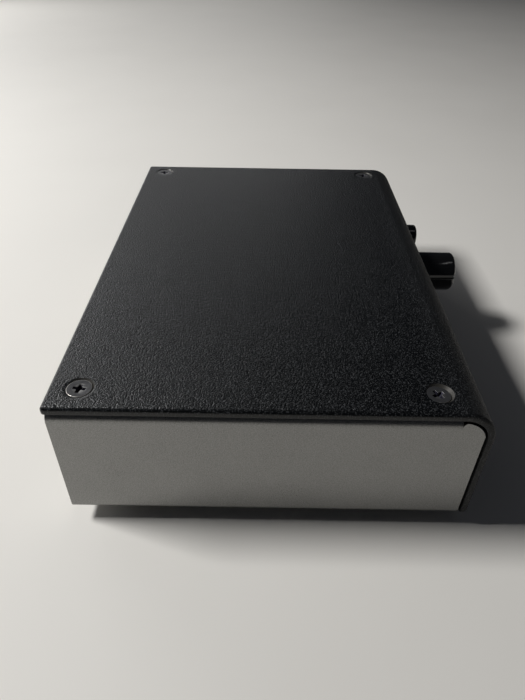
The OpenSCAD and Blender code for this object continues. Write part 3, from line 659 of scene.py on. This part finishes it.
def make_tray():
    """Chassis: a sheet swept from one flange round the floor to the other, with its rear wall and lip."""
    low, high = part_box("chassis")
    flange_start = low.y + CHEEK_DEPTH
    cheek_top = high.z - CHEEK_GAP
    edge_x = low.x + FLANGE_WIDTH
    bpy.ops.object.select_all(action="DESELECT")
    bpy.ops.mesh.primitive_plane_add(
        size=1, location=(edge_x, (low.y + high.y) / 2, high.z - TRAY_SHEET / 2), rotation=(0, pi / 2, 0))
    bpy.context.object.scale = (TRAY_SHEET, high.y - low.y, 1)
    tray = settle("chassis_tray")
    edit(tray)
    bpy.ops.mesh.select_all(action="SELECT")
    push(low.x + FLANGE_BEND - edge_x, 0, 0)
    bend((low.x + FLANGE_BEND, 0, high.z - FLANGE_BEND), (0, 1, 0), 1, 12)
    push(0, 0, low.z + FLOOR_BEND - (high.z - FLANGE_BEND))
    bend((low.x + FLOOR_BEND, 0, low.z + FLOOR_BEND), (0, 1, 0), 1, 12)
    push(high.x - low.x - 2 * FLOOR_BEND, 0, 0)
    bend((high.x - FLOOR_BEND, 0, low.z + FLOOR_BEND), (0, 1, 0), 1, 12)
    push(0, 0, high.z - FLANGE_BEND - (low.z + FLOOR_BEND))
    bend((high.x - FLANGE_BEND, 0, high.z - FLANGE_BEND), (0, 1, 0), 1, 12)
    push(low.x - edge_x + FLANGE_BEND, 0, 0)
    face_outwards()

    def on_rear_top(point):
        return near(point.y, flange_start) and near(point.z, cheek_top)

    # In front of the flanges the sides stand straight, as cheeks that follow the cover's bend
    cut(tray, block("notch", (low.x - OVERCUT, low.y - OVERCUT, high.z - 3 * MM),
                    (high.x + OVERCUT, flange_start, high.z + OVERCUT)))
    for left, right in ((low.x, low.x + TRAY_SHEET), (high.x - TRAY_SHEET, high.x)):
        cheek = block("cheek", (left, low.y, high.z - 4 * MM), (right, flange_start, cheek_top))
        edit(cheek, "EDGE")
        pick_edges(lambda a, b: on_rear_top(a) and on_rear_top(b))
        round_edges(CHEEK_CORNER, 6)
        close_edit()
        add_on(tray, cheek)
    cut(tray, quarter_cutter(
        "cheek_arc", flange_start, cheek_top - CHEEK_RADIUS, CHEEK_RADIUS, -1, 1, high.x + OVERCUT))

    # Rear wall, notched round the flanges, and the front lip
    wall_x = high.x - TRAY_SHEET - SEAM
    wall = block("wall", (-wall_x, high.y - TRAY_SHEET, low.z + TRAY_SHEET / 2),
                 (wall_x, high.y, high.z - 0.05 * MM))
    for side in (-1, 1):
        xs = sorted((side * (high.x - FLANGE_WIDTH - SEAM), side * (high.x + OVERCUT)))
        cut(wall, block("notch", (xs[0], high.y - 3 * MM, high.z - TRAY_SHEET - SEAM),
                        (xs[1], high.y + OVERCUT, high.z + OVERCUT)))
    add_on(tray, wall)
    lip_x = high.x - FLOOR_BEND
    add_on(tray, block("lip", (-lip_x, low.y, low.z), (lip_x, low.y + TRAY_SHEET, low.z + FRONT_LIP)))
    cut(tray, quarter_cutter(
        "rear_arc", high.y - REAR_CORNER, low.z + REAR_CORNER, REAR_CORNER, 1, -1, high.x + OVERCUT))

    # Holes for the jacks, their screws, the nuts and the stand-offs
    for pair in JACK_PAIRS:
        for side in (-1, 1):
            at_x = pair + side * JACK_HALF_PITCH
            cut(tray, rod("jack_hole", (at_x, high.y, JACK_Z), JACK_HOLE, THROUGH))
        cut(tray, rod("screw_hole", (pair, high.y, JACK_SCREW_Z), JACK_SCREW_HOLE, THROUGH, sides=32))
    for side in (-1, 1):
        for y in SCREW_ROWS:
            cut(tray, rod("nut_hole", (side * SCREW_X, y, high.z), NUT_HOLE, THROUGH, "Z", 32))
        for y in STANDOFF_ROWS:
            cut(tray, rod("standoff_hole", (side * STANDOFF_X, y, low.z), STANDOFF_HOLE, THROUGH, "Z", 32))
    # Of this width next to nothing is left on the tray, so its edges are practically sharp
    soften(tray, COATED_EDGE, 50)
    smooth(tray, 30)
    keep_flats_flat(tray)
    return tray


def make_cover_screw():
    """Countersunk screw with a cross recess, at the first screw's place."""
    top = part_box("top_cover")[1].z - HEAD_SINK
    x, y = SCREW_X, SCREW_ROWS[0]
    head, thread = SCREW_HEAD / 2, SCREW_THREAD / 2
    cone_z = top - HEAD_RIM - (head - thread)
    tip, lead, groove, pitch = top - SCREW_LENGTH, 0.4 * MM, 0.22 * MM, 0.5 * MM
    profile = [(tip, thread - lead), (tip + lead, thread)]
    ridge_z = tip + 0.7 * MM
    while ridge_z < cone_z - 0.6 * MM:
        profile += [(ridge_z, thread - groove), (ridge_z + groove, thread)]
        ridge_z += pitch
    profile += [(cone_z, thread), (top - HEAD_RIM, head), (top - 0.04 * MM, head),
                (top, head - 0.04 * MM), (top, head - 0.14 * MM)]
    screw = turned_upright("cover_screw_1", (x, y), profile, 96)

    # The cross recess: two arms that narrow towards their bottom, and a pit where they meet
    reach, half, bottom = 1.5 * MM, 0.42 * MM, top - 1.1 * MM
    for turn in (0, 1):
        arm = block("arm", (x - reach, y - half, bottom), (x + reach, y + half, top + 0.2 * MM))
        edit(arm)
        pick_faces(lambda centre, normal: normal.z < -0.9)
        resize((x, y, bottom), 0.38, 0.55, 1)
        close_edit()
        if turn:
            arm.data.transform(Matrix.Translation((x, y, 0)) @ Matrix.Rotation(pi / 2, 4, "Z")
                               @ Matrix.Translation((-x, -y, 0)))
        cut(screw, arm)
    cut(screw, rod("pit", (x, y, top - 0.7 * MM), 0.35 * MM, 1.8 * MM, "Z", 24, 0.75 * MM))
    soften(screw, 0.05 * MM, 35)
    paint_wear(screw, (x, y), top, head)
    smooth(screw, 40)
    return screw


def paint_wear(screw, centre, top, head):
    """Marks how far the plating is worn, at the head's rim and round the recess, and marks the recess, which
    gets painted shade.
    """
    mesh = screw.data
    wear = mesh.attributes.new("worn", "FLOAT", "POINT")
    for index, vertex in enumerate(mesh.vertices):
        x, y, z = vertex.co
        radius = ((x - centre[0]) ** 2 + (y - centre[1]) ** 2) ** 0.5
        on_top = z > top - 0.15 * MM
        rim = on_top and radius > head - 0.1 * MM
        mouth = on_top and 0.3 * MM < radius < RECESS_REACH
        wear.data[index].value = 1.0 if rim else 0.42 if mouth else 0.0
    mark_recess(screw, lambda place: top - 1.7 * MM < place.z < top - 0.08 * MM and (
        (place.x - centre[0]) ** 2 + (place.y - centre[1]) ** 2) ** 0.5 < RECESS_REACH)


def mark_recess(screw, test):
    """Marks the faces of a screw's recess, which are dull and darkened with painted shade."""
    recess = screw.data.attributes.new("recess", "FLOAT", "FACE")
    for face in screw.data.polygons:
        recess.data[face.index].value = 1.0 if test(face.center) else 0.0


def make_foot():
    """Rubber foot, tapered, with a rounded sole and a shallow dish in it."""
    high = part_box("rubber_feet")[1]
    x, y = high.x - FOOT_RADIUS, high.y - FOOT_RADIUS
    sole, edge = 4.8 * MM, 0.8 * MM
    profile = [(0.35 * MM, 1.2 * MM), (0.3 * MM, 2.4 * MM), (0.02 * MM, 3.1 * MM), (0.0, 3.4 * MM)]
    profile += rounding((edge, sole - edge), edge, 180, 90, 6)[1:]
    profile += [(3.9 * MM, FOOT_RADIUS - 0.15 * MM), (high.z - 0.15 * MM, FOOT_RADIUS),
                (high.z, FOOT_RADIUS - 0.1 * MM)]
    foot = turned_upright("foot_1", (x, y), profile, 72)
    smooth(foot, 40)
    return foot


# Controls

def turn_about(piece, centre, angle):
    """Turns a piece's mesh about the Y line through centre."""
    there = Matrix.Translation(Vector(centre))
    piece.data.transform(there @ Matrix.Rotation(angle, 4, "Y") @ there.inverted())


def make_knob():
    """Volume knob: a glossy round cap with a pointer groove over its face and side."""
    low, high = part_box("volume_knob")
    radius, edge, bore = (high.z - low.z) / 2, 1.1 * MM, 3.05 * MM
    front, back = low.y, high.y
    hole_bottom = front + 1.95 * MM
    lead, rim, rim_cut = 0.2 * MM, 0.25 * MM, 0.07 * MM
    profile = [(hole_bottom, bore), (back - lead, bore), (back, bore + lead)]
    profile += [(back, radius - rim), (back - rim_cut, radius - rim_cut), (back - rim, radius)]
    profile += rounding((front + edge, radius - edge), edge, 90, 180, 14)
    profile += [(front, 2 * MM)]
    centre = (VOLUME_X, 0, CONTROL_Z)
    knob = turned("knob", centre, profile, 144)

    # The land that faces the shaft's flat, with room for the clip
    land_half = 3.3 * MM
    land = block("land", (VOLUME_X - land_half, front + 1 * MM, CONTROL_Z - 3.6 * MM),
                 (VOLUME_X + land_half, front + 9.95 * MM, CONTROL_Z - 1.95 * MM))
    turn_about(land, centre, POINTER_TURN)
    add_on(knob, land)

    # The pointer's groove runs along the side and from near the middle over the face
    half, depth = 0.5 * MM, 0.6 * MM
    for low_y, high_y, low_z in (
            (front - OVERCUT, back + OVERCUT, radius - depth), (front - OVERCUT, front + depth, 1.5 * MM)):
        groove = block("groove", (VOLUME_X - half, low_y, CONTROL_Z + low_z),
                       (VOLUME_X + half, high_y, CONTROL_Z + radius + OVERCUT))
        turn_about(groove, centre, POINTER_TURN)
        cut(knob, groove)
    soften(knob, 0.04 * MM, 45)
    smooth(knob, 30)
    return knob


def make_button():
    """Push button: a round cap with a rounded edge, a barely hollow face, and a square socket behind."""
    low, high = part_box("switch_button")
    radius, edge = (high.z - low.z) / 2, 0.9 * MM
    front, back = low.y, high.y
    profile = [(back, 1.9 * MM), (back, radius - 0.2 * MM), (back - 0.2 * MM, radius)]
    profile += rounding((front + edge, radius - edge), edge, 90, 180, 12)
    profile += [(front + 0.05 * MM, 2.2 * MM), (front + 0.12 * MM, 1 * MM)]
    button = turned("button", (BUTTON_X, 0, CONTROL_Z), profile, 96)
    half = 1.55 * MM
    cut(button, block("socket", (BUTTON_X - half, front + 2.95 * MM, CONTROL_Z - half),
                      (BUTTON_X + half, back + OVERCUT, CONTROL_Z + half)))
    soften(button, 0.06 * MM, 50)
    smooth(button, 35)
    return button


def make_spring():
    """The button's return spring: wire wound round the plunger's line, with its ends ground flat."""
    front, rear = SPRING_FRONT, SPRING_SEAT - 0.05 * MM
    wire, coil_radius, turns, ground_off = 0.25 * MM, 1.55 * MM, 6, 0.1 * MM
    first = front + ground_off
    bpy.ops.object.select_all(action="DESELECT")
    bpy.ops.mesh.primitive_circle_add(vertices=14, radius=wire, location=(BUTTON_X, first, CONTROL_Z))
    spring = bpy.context.object
    edit(spring)
    bpy.ops.mesh.select_all(action="SELECT")
    bpy.ops.transform.translate(value=(coil_radius, 0, 0))
    close_edit()
    winding = spring.modifiers.new("winding", "SCREW")
    winding.axis = "Y"
    winding.steps = winding.render_steps = 40
    winding.iterations = turns
    winding.screw_offset = (rear - first - ground_off) / turns
    winding.use_normal_calculate = True
    bpy.ops.object.modifier_apply(modifier=winding.name)
    spring = settle("switch_coil")
    edit(spring, "EDGE")
    bpy.ops.mesh.select_non_manifold()
    bpy.ops.mesh.fill_holes(sides=0)
    face_outwards()
    for end_y, outwards in ((front, -1), (rear, 1)):
        edit(spring)
        bpy.ops.mesh.select_all(action="SELECT")
        bpy.ops.mesh.bisect(
            plane_co=(0, end_y, 0), plane_no=(0, outwards, 0), use_fill=True, clear_outer=True)
        close_edit()
    smooth(spring, 40)
    return spring


# Jacks: one of each piece is made at the first jack's place, and copied to every jack's place

FIRST_JACK = (JACK_PAIRS[0] - JACK_HALF_PITCH, 0, JACK_Z)


def make_sleeve():
    """A jack's plated sleeve: a stepped tube with a rolled mouth and a groove behind it."""
    low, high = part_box("jack_sleeves")
    root, tip = low.y, high.y
    inner, seated, outer = 3.35 * MM, 3.75 * MM, 4.15 * MM
    step_y, edge, mouth = root + 7.65 * MM, 0.1 * MM, 0.4 * MM
    groove = outer - 0.12 * MM
    profile = [(root, inner + edge), (root, seated), (step_y, seated), (step_y, outer - edge),
               (step_y + edge, outer)]
    profile += [(tip - 1.5 * MM, outer), (tip - 1.4 * MM, groove), (tip - 1.2 * MM, groove),
                (tip - 1.1 * MM, outer)]
    profile += rounding((tip - mouth, outer - mouth), mouth, 90, 0, 6)
    profile += [(tip, inner + 0.15 * MM), (tip - 0.15 * MM, inner), (root + edge, inner),
                (root, inner + edge)]
    sleeve = turned("sleeve", FIRST_JACK, profile, 96, ring=True)
    smooth(sleeve, 30)
    return sleeve


def make_insert():
    """The coloured insulator inside a sleeve: a plug with a lip and a round well for the contact."""
    low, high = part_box("jack_inserts_white")
    root, tip = low.y, high.y
    outer, well = 3.3 * MM, 1.97 * MM
    lead, edge, dip = 0.25 * MM, 0.15 * MM, tip - 0.12 * MM
    profile = [(root + 1 * MM, well), (tip - lead, well), (tip, well + lead),
               (tip, outer - 0.9 * MM), (dip, outer - 0.8 * MM), (dip, outer - 0.5 * MM),
               (tip, outer - 0.4 * MM), (tip, outer - edge), (tip - edge, outer), (root, outer)]
    insert = turned("insert", FIRST_JACK, profile, 96)
    smooth(insert, 30)
    return insert


def make_contact():
    """The gold-coloured centre contact: a thin tube, slit lengthwise into four leaves."""
    low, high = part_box("jack_contacts")
    root, tip = low.y, high.y
    outer, bore = 1.92 * MM, 1.62 * MM
    profile = [(root + 0.3 * MM, bore), (tip - 0.1 * MM, bore), (tip, bore + 0.08 * MM),
               (tip, outer - 0.08 * MM), (tip - 0.1 * MM, outer), (root, outer)]
    contact = turned("contact", FIRST_JACK, profile, 64)
    half = 0.12 * MM
    for turn in (0, 1):
        slit = block("slit", (FIRST_JACK[0] - half, tip - 5 * MM, JACK_Z - 3 * MM),
                     (FIRST_JACK[0] + half, tip + OVERCUT, JACK_Z + 3 * MM))
        turn_about(slit, FIRST_JACK, radians(45 + 90 * turn))
        cut(contact, slit)
    smooth(contact, 30)
    return contact


def make_jack_screw():
    """Self-tapping pan-head screw with a cross recess, behind the first jack pair."""
    low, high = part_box("jack_screws")
    x, z = JACK_PAIRS[0], JACK_SCREW_Z
    head, shank, dome = 2.6 * MM, 1.45 * MM, 0.85 * MM
    seat = high.y - 1.7 * MM
    profile = [(low.y, 0.5 * MM), (low.y + 1.2 * MM, shank - 0.25 * MM)]
    turn_y = low.y + 1.5 * MM
    while turn_y < seat - 1 * MM:
        profile += [(turn_y, shank - 0.3 * MM), (turn_y + 0.3 * MM, shank), (turn_y + 0.4 * MM, shank)]
        turn_y += 0.9 * MM
    profile += [(seat, shank - 0.2 * MM), (seat, head - 0.1 * MM), (seat + 0.1 * MM, head)]
    profile += rounding((high.y - dome, head - dome), dome, 90, 0, 8)
    profile += [(high.y, 0.6 * MM)]
    screw = turned("jack_screw", (x, 0, z), profile, 72)
    reach, half, bottom = 1.5 * MM, 0.38 * MM, high.y - 1.05 * MM
    for turn in (0, 1):
        arm = block("arm", (x - reach, bottom, z - half), (x + reach, high.y + OVERCUT, z + half))
        edit(arm)
        pick_faces(lambda centre, normal: normal.y < -0.9)
        resize((x, bottom, z), 0.4, 1, 0.6)
        close_edit()
        turn_about(arm, (x, 0, z), radians(20 + 90 * turn))
        cut(screw, arm)
    soften(screw, 0.05 * MM, 40)
    mesh = screw.data
    wear = mesh.attributes.new("worn", "FLOAT", "POINT")
    for index, vertex in enumerate(mesh.vertices):
        off = ((vertex.co.x - x) ** 2 + (vertex.co.z - z) ** 2) ** 0.5
        wear.data[index].value = 0.5 if vertex.co.y > high.y - 0.1 * MM and off < 1.7 * MM else 0.1
    mark_recess(screw, lambda place: high.y - 1.2 * MM < place.y < high.y - 0.15 * MM and (
        (place.x - x) ** 2 + (place.z - z) ** 2) ** 0.5 < 1.45 * MM)
    smooth(screw, 35)
    return screw


piece_cover = make_cover()
fit(piece_cover, "case", "cover_black", "top_cover")

piece_tray = make_tray()
fit(piece_tray, "case", "chassis_grey", "chassis")

first_screw = make_cover_screw()
screw_home = (SCREW_X, SCREW_ROWS[0], 0)
# Each screw's side and row, its turn in radians, how far it sits from its home, and how many degrees it
# leans in its thread, away from the rear left corner
SCREW_SETTINGS = (
    (-1, 0, 0.55, (0.15 * MM, 0.15 * MM, -0.22 * MM), 4.5),
    (-1, 1, 1.42, (0.05 * MM, -0.05 * MM, -0.04 * MM), 1.5),
    (1, 0, 1.25, (0, 0, -0.10 * MM), 0),
    (1, 1, 0.15, (0, 0, -0.08 * MM), 0))
for number, (side, row, turn, settled, lean) in enumerate(SCREW_SETTINGS, 1):
    offset = Vector((side * SCREW_X - SCREW_X, SCREW_ROWS[row] - SCREW_ROWS[0], 0)) + Vector(settled)
    screw = copy_to(first_screw, "cover_screw_%d" % number, offset, turn, screw_home)
    head_middle = Matrix.Translation(offset + Vector((*screw_home[:2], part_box("top_cover")[1].z)))
    screw.data.transform(head_middle @ Matrix.Rotation(radians(lean), 4, (1, 1, 0)) @ head_middle.inverted())
    fit(screw, "case", "screw_black", "cover_screws")
bpy.data.objects.remove(first_screw)

first_foot = make_foot()
low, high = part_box("rubber_feet")
step_x, step_y = high.x - low.x - 2 * FOOT_RADIUS, high.y - low.y - 2 * FOOT_RADIUS
fit(first_foot, "case", "foot_rubber", "rubber_feet")
for number, (move_x, move_y) in enumerate(((step_x, 0), (0, step_y), (step_x, step_y)), 2):
    foot = copy_to(first_foot, "foot_%d" % number, (-move_x, -move_y, 0))
    fit(foot, "case", "foot_rubber", "rubber_feet")

fit(make_knob(), "volume", "knob_black", "volume_knob")
fit(make_button(), "button", "button_black", "switch_button")
piece_spring = make_spring()
fit(piece_spring, "case", "spring_steel", "switch_spring")
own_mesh(piece_spring)

# Of each pair, the white jack is at the right seen from the front and the red one at the left
first_sleeve, first_insert, first_contact, first_jack_screw = (
    make_sleeve(), make_insert(), make_contact(), make_jack_screw())
number = 0
for pair in JACK_PAIRS:
    for side, colour in ((-1, "red"), (1, "white")):
        number += 1
        offset = (pair + side * JACK_HALF_PITCH - FIRST_JACK[0], 0, 0)
        fit(copy_to(first_sleeve, "jack_sleeve_%d" % number, offset), "case", "jack_nickel", "jack_sleeves")
        fit(copy_to(first_insert, "jack_insert_%d" % number, offset), "case", "jack_" + colour,
            "jack_inserts_" + colour)
        fit(copy_to(first_contact, "jack_contact_%d" % number, offset), "case", "contact_brass",
            "jack_contacts")
    fit(copy_to(first_jack_screw, "jack_screw_%d" % (number // 2), (pair - JACK_PAIRS[0], 0, 0)),
        "case", "screw_black", "jack_screws")
for first in (first_sleeve, first_insert, first_contact, first_jack_screw):
    bpy.data.objects.remove(first)

# The other solids are shown as they are, and get their finish
REPLACED = {"top_cover", "chassis", "cover_screws", "rubber_feet", "volume_knob", "switch_button",
            "switch_spring", "jack_sleeves", "jack_inserts_white", "jack_inserts_red", "jack_contacts",
            "jack_screws"}
for name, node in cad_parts.items():
    if name in REPLACED:
        continue
    for slot in node.material_slots:
        slot.material = FINISHES[slot.material.name.split(".")[0]]

# Floor
bpy.ops.object.select_all(action="DESELECT")
bpy.ops.mesh.primitive_plane_add(size=8, location=(0, 0, 0))
floor = settle("floor")
paper = Finish("floor_paper", Specular_IOR_Level=0.25)
mottle = paper.noise(60 * MM, 3, 0.5)
paper.feed("Base Color", paper.mix(mottle, (0.80, 0.775, 0.725, 1), (0.84, 0.815, 0.765, 1)))
paper.feed("Roughness", 0.62 + 0.1 * mottle)
floor.data.materials.append(paper.material)


# Lamps and camera

def lamp(name, azimuth, elevation, distance, width, height, power):
    """A soft rectangular lamp that looks at the object: its two angles in degrees, azimuth from the rear
    towards +X, then its distance and size in metres, and its power in watts."""
    turn, rise = radians(azimuth), radians(elevation)
    place = distance * Vector((cos(rise) * sin(turn), cos(rise) * cos(turn), sin(rise)))
    light = bpy.data.lights.new(name, "AREA")
    light.shape = "RECTANGLE"
    light.size = width
    light.size_y = height
    light.energy = power
    holder = bpy.data.objects.new(name, light)
    bpy.context.collection.objects.link(holder)
    holder.matrix_world = Matrix.Translation(place) @ place.to_track_quat("Z", "Y").to_matrix().to_4x4()
    return light


lamp("key_lamp", 1, 46.5, 0.75, 0.19, 0.12, 5.2)
lamp("side_lamp", 48, 15, 0.9, 0.5, 0.30, 1.35)
lamp("far_lamp", 78, 15, 1.0, 0.6, 0.30, 0.48)
lamp("top_lamp", 203.5, 68.5, 1.24, 0.35, 0.05, 0.08)
lamp("front_lamp", 178, 12, 1.2, 0.8, 0.25, 0.08)

world = bpy.data.worlds.new("studio")
bpy.context.scene.world = world
world.use_nodes = True
world.node_tree.nodes["Background"].inputs["Color"].default_value = (0.85, 0.93, 1.15, 1)
world.node_tree.nodes["Background"].inputs["Strength"].default_value = 0.020

CAMERA_PLACE = Vector((-138.295, 5.199, 109.994)) * MM
CAMERA_YAW, CAMERA_DOWN, CAMERA_ROLL = radians(0.02), radians(38.59), radians(0.91)
FOCAL_PIXELS, LONG_SIDE_PIXELS, SENSOR = 553.84, 700, 36

ahead = Vector((cos(CAMERA_YAW) * cos(CAMERA_DOWN), sin(CAMERA_YAW) * cos(CAMERA_DOWN), -sin(CAMERA_DOWN)))
level_right = ahead.cross(Vector((0, 0, 1))).normalized()
level_up = level_right.cross(ahead)
right = cos(CAMERA_ROLL) * level_right + sin(CAMERA_ROLL) * level_up
up = cos(CAMERA_ROLL) * level_up - sin(CAMERA_ROLL) * level_right
lens = bpy.data.cameras.new("camera")
lens.sensor_width = SENSOR
lens.lens = FOCAL_PIXELS / LONG_SIDE_PIXELS * SENSOR
lens.clip_start = 0.005
camera = bpy.data.objects.new("camera", lens)
bpy.context.collection.objects.link(camera)
axes = Matrix((right, up, -ahead)).transposed().to_4x4()
camera.matrix_world = Matrix.Translation(CAMERA_PLACE) @ axes
bpy.context.scene.camera = camera
bpy.context.scene.view_settings.view_transform = "Standard"
